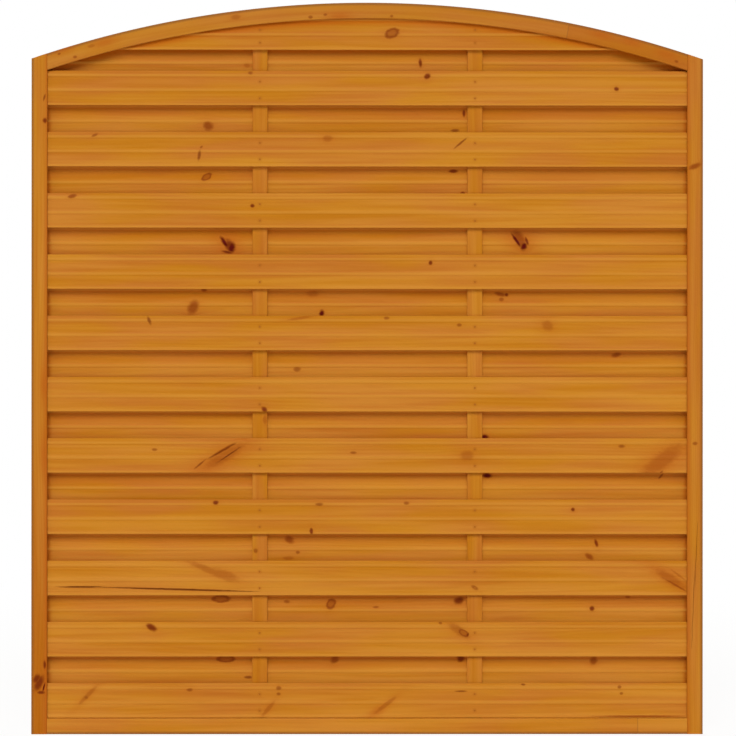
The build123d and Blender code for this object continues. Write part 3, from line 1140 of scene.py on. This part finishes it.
class FENCE_OT_battens(Operator):
    """Models the two upright strips that the slats are nailed to"""

    bl_idname = "fence.battens"
    bl_label = "Battens"

    def execute(self, context):
        sizes = context.scene.fence_sizes
        disc = arch_disc(arch_circle()[0] - sizes.frame_face + sizes.groove_depth - sizes.end_clearance)
        for seed, word in enumerate(SIDES, start=5):
            node = f"{word}_batten"
            low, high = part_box(node)
            piece = box_start(f"batten_{word}", low, high)
            pick(piece, "EDGE", lambda edge: runs_along(edge, 2))
            bpy.ops.mesh.bevel(offset=sizes.batten_round, segments=3, affect="EDGES")
            tidy_mesh()
            cut(piece, disc, "INTERSECT")
            finish_piece(piece, timber(f"batten_{word}", node, upright_grain, seed), "batten_wood", node)
        discard(disc)
        return {"FINISHED"}


def slat_blank():
    """A full slat at the place of the lowest front one, with three ribs on each face."""
    sizes = bpy.context.scene.fence_sizes
    low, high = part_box(FRONT_SLATS[0])
    piece = box_start("slat_blank", low, high)
    steps = 4
    drops = {high.z: sizes.rib_height}
    for crest in rib_crests(low.z):
        for step in range(-steps, steps + 1):
            place = crest + step / steps * sizes.rib_width / 2
            if low.z < place:
                drops[place] = sizes.rib_height * (step / steps) ** 2
    slice_at(2, *(place for place in drops if place < high.z))
    for face, inward in ((low.y, -FRONT), (high.y, -BACK)):
        for place, drop in drops.items():
            pick(piece, "VERT", lambda v: on(v.co.y, face) and on(v.co.z, place))
            bpy.ops.transform.translate(value=(0, inward * drop, 0))
    for edge_height, radius in ((low.z, 0.98 * sizes.lowest_rib), (high.z, sizes.slat_round)):
        pick(piece, "EDGE", lambda edge: runs_along(edge, 0) and on(middle_of(edge).z, edge_height))
        bpy.ops.mesh.bevel(offset=radius, segments=4, affect="EDGES")
    tidy_mesh()
    return piece


def nail_recesses(slats):
    """Round cutters for the recesses that the nails' heads lie in."""
    sizes = bpy.context.scene.fence_sizes
    cutters = []
    for place in nail_places(slats):
        deselect_objects()
        bpy.ops.mesh.primitive_cylinder_add(
            vertices=24,
            radius=sizes.nail_head / 2 + 0.05 * MM,
            depth=2 * sizes.nail_head_depth,
            location=place,
            rotation=(math.pi / 2, 0, 0),
        )
        cutters.append(name_new("nail_recess"))
    return joined("nail_recesses", cutters)


def make_slats(slats, first_seed, slot):
    """Models a layer of slats as copies of one blank, cut to the arch and recessed for their nails."""
    sizes = bpy.context.scene.fence_sizes
    blank = slat_blank()
    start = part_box(FRONT_SLATS[0])[0]
    disc = arch_disc(arch_circle()[0] - sizes.frame_face + sizes.groove_depth - sizes.end_clearance)
    recesses = nail_recesses(slats)
    for number, node in enumerate(slats):
        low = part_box(node)[0]
        word, row = node.split("_slat_")
        name = f"slat_{word}_{row}"
        slat = copy_of(blank, name, (0, low.y - start.y, low.z - start.z))
        if node == slats[-1]:
            cut(slat, disc, "INTERSECT")
        cut(slat, recesses)
        crack_piece(slat, node)
        finish_piece(slat, timber(name, node, level_grain, first_seed + number), slot, node)
    discard(blank, disc, recesses)


class FENCE_OT_front_slats(Operator):
    """Models the ribbed slats on the front of the battens"""

    bl_idname = "fence.front_slats"
    bl_label = "Front slats"

    def execute(self, context):
        make_slats(FRONT_SLATS, 10, "front_slat_wood")
        return {"FINISHED"}


class FENCE_OT_back_slats(Operator):
    """Models the ribbed slats on the back of the battens"""

    bl_idname = "fence.back_slats"
    bl_label = "Back slats"

    def execute(self, context):
        make_slats(BACK_SLATS, 30, "back_slat_wood")
        return {"FINISHED"}


def nail_blank(outward):
    """A nail with its head's top at the origin, pointing into the panel from its front or back."""
    sizes = bpy.context.scene.fence_sizes
    depth = sizes.nail_head_depth
    inward = Vector((0, -outward, 0))
    deselect_objects()
    bpy.ops.mesh.primitive_cylinder_add(
        vertices=20,
        radius=sizes.nail_head / 2,
        depth=depth,
        location=inward * depth / 2,
        rotation=(math.pi / 2, 0, 0),
    )
    piece = name_new("nail_blank")
    bpy.ops.object.mode_set(mode="EDIT")
    pick(piece, "FACE", lambda face: face.normal.dot(inward) > 0.9)
    bpy.ops.mesh.inset(thickness=(sizes.nail_head - sizes.nail_shank) / 2)
    shank = sizes.nail_length - depth - sizes.nail_point
    bpy.ops.mesh.extrude_region_move(TRANSFORM_OT_translate={"value": inward * shank})
    bpy.ops.mesh.extrude_region_move(TRANSFORM_OT_translate={"value": inward * sizes.nail_point})
    shrink = 2 * sizes.tip_radius / sizes.nail_shank
    bpy.ops.transform.resize(value=(shrink, 1, shrink), center_override=inward * sizes.nail_length)
    pick(piece, "FACE", lambda face: face.normal.dot(inward) < -0.9)
    bpy.ops.mesh.inset(thickness=sizes.nail_head / 8)
    bpy.ops.transform.translate(value=inward * -0.25 * MM)
    tidy_mesh()
    return piece


class FENCE_OT_nails(Operator):
    """Models the nails that hold the slats, as one group on each face"""

    bl_idname = "fence.nails"
    bl_label = "Nails"

    def execute(self, context):
        material = steel("nail_steel")
        for word, outward, slats in (("front", FRONT, FRONT_SLATS), ("back", BACK, BACK_SLATS)):
            blank = nail_blank(outward)
            copies = [copy_of(blank, "nail", place) for place in nail_places(slats)]
            discard(blank)
            finish_piece(joined(f"nails_{word}", copies), material, "nail_steel", f"{word}_nails")
        return {"FINISHED"}


def screw_blank(name, sizes, clearance=0.0, above=0.0):
    """A countersunk screw along +X with its head's top at the origin, or its bore, open above the head."""
    deselect_objects()
    rim = 0.5 * MM
    shank = sizes.screw_shank / 2 + clearance
    bpy.ops.mesh.primitive_cylinder_add(
        vertices=32,
        radius=sizes.screw_head / 2 + clearance,
        depth=rim + above,
        location=((rim - above) / 2, 0, 0),
        rotation=(0, math.pi / 2, 0),
    )
    piece = name_new(name)
    bpy.ops.object.mode_set(mode="EDIT")
    pick(piece, "FACE", lambda face: face.normal.x > 0.9)
    ends = (
        (sizes.screw_head_depth - rim, shank / (sizes.screw_head / 2 + clearance)),
        (sizes.screw_length - sizes.screw_head_depth - sizes.screw_point, 1),
        (sizes.screw_point, sizes.tip_radius / shank),
    )
    for reach, shrink in ends:
        bpy.ops.mesh.extrude_region_move(TRANSFORM_OT_translate={"value": (reach, 0, 0)})
        bpy.ops.transform.resize(value=(1, shrink, shrink), center_override=(0, 0, 0))
    return piece


def put_screws(name, blank):
    """Copies of a screw or its bore at the four corners, as one object."""
    copies = []
    for place, way in screw_places():
        only(blank)
        bpy.ops.object.duplicate()
        copy = bpy.context.object
        copy.rotation_euler = way.to_track_quat("X", "Z").to_euler()
        copy.location = place
        copies.append(name_new("corner_screw"))
    discard(blank)
    return joined(name, copies)


def screw_cutters():
    """Cutters for the bores of the corner screws."""
    sizes = bpy.context.scene.fence_sizes
    blank = screw_blank("screw_bore", sizes, 0.05 * MM, sizes.frame_face)
    tidy_mesh()
    return put_screws("screw_bores", blank)


class FENCE_OT_screws(Operator):
    """Models the countersunk screws in the frame's corners"""

    bl_idname = "fence.screws"
    bl_label = "Screws"

    def execute(self, context):
        sizes = context.scene.fence_sizes
        blank = screw_blank("screw_blank", sizes)
        tidy_mesh()
        reach = sizes.screw_head / 4
        slot = 0.5 * MM
        for low, high in (((-reach, -slot), (reach, slot)), ((-slot, -reach), (slot, reach))):
            recess = box_start("drive", Vector((-1 * MM, *low)), Vector((2 * MM, *high)))
            bpy.ops.object.mode_set(mode="OBJECT")
            cut(blank, recess)
            discard(recess)
        screws = put_screws("screws_corner", blank)
        finish_piece(screws, steel("screw_steel"), "screw_steel", "corner_screws")
        return {"FINISHED"}


class FENCE_OT_stage(Operator):
    """Sets the floor, the camera at the photograph's angle and soft studio light"""

    bl_idname = "fence.stage"
    bl_label = "Stage"

    def execute(self, context):
        stage = context.scene.fence_stage
        deselect_objects()
        bpy.ops.mesh.primitive_plane_add(size=40)
        floor = name_new("floor")
        floor.data.materials.append(floor_paint())

        front = CAD_BOX[0].y
        aim = Vector((stage.aim_x, front, stage.aim_height))
        swing = stage.camera_swing
        spot = aim - stage.camera_distance * Vector((math.sin(swing), math.cos(swing), 0))
        bpy.ops.object.camera_add(location=spot, rotation=(math.pi / 2, stage.camera_roll, -swing))
        camera = bpy.context.object
        camera.data.sensor_width = 36
        camera.data.lens = camera.data.sensor_width * stage.camera_distance / stage.view_width
        context.scene.camera = camera

        level = math.cos(stage.key_height)
        lamps = (("key", FRONT, stage.key_strength), ("back", BACK, stage.back_strength))
        for name, side, energy in lamps:
            way = Vector((-math.sin(stage.key_side) * level, side * math.cos(stage.key_side) * level, 0))
            way.z = math.sin(stage.key_height)
            turn = way.to_track_quat("Z", "Y").to_euler()
            bpy.ops.object.light_add(type="SUN", location=way * stage.camera_distance, rotation=turn)
            lamp = bpy.context.object
            lamp.name = f"{name}_light"
            lamp.data.energy = energy
            lamp.data.angle = stage.key_spread

        context.scene.world = white_surround(stage.sky_colour, stage.sky_strength)
        context.scene.view_settings.view_transform = "Standard"
        return {"FINISHED"}


def seen_directly(finish):
    """1 where the camera, a reflection or a transmission looks at a surface, and 0 for other light."""
    camera = finish.node("ShaderNodeLightPath", output="Is Camera Ray")
    glossy = finish.node("ShaderNodeLightPath", output="Is Glossy Ray")
    through = finish.node("ShaderNodeLightPath", output="Is Transmission Ray")
    return camera.math("MAXIMUM", glossy).math("MAXIMUM", through)


def floor_paint():
    """White floor that keeps a soft shadow near the panel and is as white as the surround farther away."""
    finish = Finish(bpy.data.materials.new("floor_paint"))
    x, y, z = panel_axes(finish)
    cloud = finish.noise(finish.place(x * 2, y * 2, z))
    base = finish.mix(cloud, (0.9, 0.9, 0.9), (0.94, 0.94, 0.94))
    paint = finish.node("ShaderNodeBsdfDiffuse", inputs={"Color": base})
    glow = finish.node("ShaderNodeEmission", inputs={"Color": (1, 1, 1, 1), "Strength": 1.0})
    near_glow = 0.9
    away = finish.step((x * x + y * y).math("SQRT"), 1.0, 5.0)
    share = seen_directly(finish) * (away * (1 - near_glow) + near_glow)
    mixed = finish.node("ShaderNodeMixShader", inputs={0: share, 1: paint, 2: glow})
    finish.node("ShaderNodeOutputMaterial", inputs={"Surface": mixed})
    return finish.owner


def white_surround(sky, level):
    """A world that is white to look at and lights the panel evenly and a little warm."""
    finish = Finish(bpy.data.worlds.new("white_surround"))
    seen = seen_directly(finish)
    tint = finish.mix(seen, sky, (1, 1, 1))
    brightness = seen * (1 - level) + level
    light = finish.node("ShaderNodeBackground", inputs={"Color": tint, "Strength": brightness})
    finish.node("ShaderNodeOutputWorld", inputs={"Surface": light})
    return finish.owner


OPERATORS = (
    FENCE_OT_stiles,
    FENCE_OT_bottom_rail,
    FENCE_OT_arch_rail,
    FENCE_OT_battens,
    FENCE_OT_front_slats,
    FENCE_OT_back_slats,
    FENCE_OT_nails,
    FENCE_OT_screws,
    FENCE_OT_stage,
)
GROUPS = {"fence_sizes": FenceSizes, "fence_colours": FenceColours, "fence_stage": FenceStage}


class FENCE_PT_panel(Panel):
    """Lists the panel's pieces and settings in the 3D view's sidebar"""

    bl_idname = "FENCE_PT_panel"
    bl_label = "Arched Fence Panel"
    bl_space_type = "VIEW_3D"
    bl_region_type = "UI"
    bl_category = "Fence"

    def draw(self, context):
        for operator in OPERATORS:
            self.layout.operator(operator.bl_idname)
        for group, kind in GROUPS.items():
            column = self.layout.column(heading=kind.__doc__)
            for name in kind.__annotations__:
                column.prop(getattr(context.scene, group), name)


def register():
    for kind in (*GROUPS.values(), *OPERATORS, FENCE_PT_panel):
        bpy.utils.register_class(kind)
    for group, kind in GROUPS.items():
        setattr(bpy.types.Scene, group, PointerProperty(type=kind))


def unregister():
    for group in GROUPS:
        delattr(bpy.types.Scene, group)
    for kind in (FENCE_PT_panel, *reversed(OPERATORS), *GROUPS.values()):
        bpy.utils.unregister_class(kind)


def main():
    """Builds the panel piece by piece and notes its size beside the frame's."""
    register()
    bpy.ops.fence.stiles()
    bpy.ops.fence.bottom_rail()
    bpy.ops.fence.arch_rail()
    bpy.ops.fence.battens()
    bpy.ops.fence.front_slats()
    bpy.ops.fence.back_slats()
    bpy.ops.fence.nails()
    bpy.ops.fence.screws()
    bpy.ops.fence.stage()


if __name__ == "__main__":
    main()
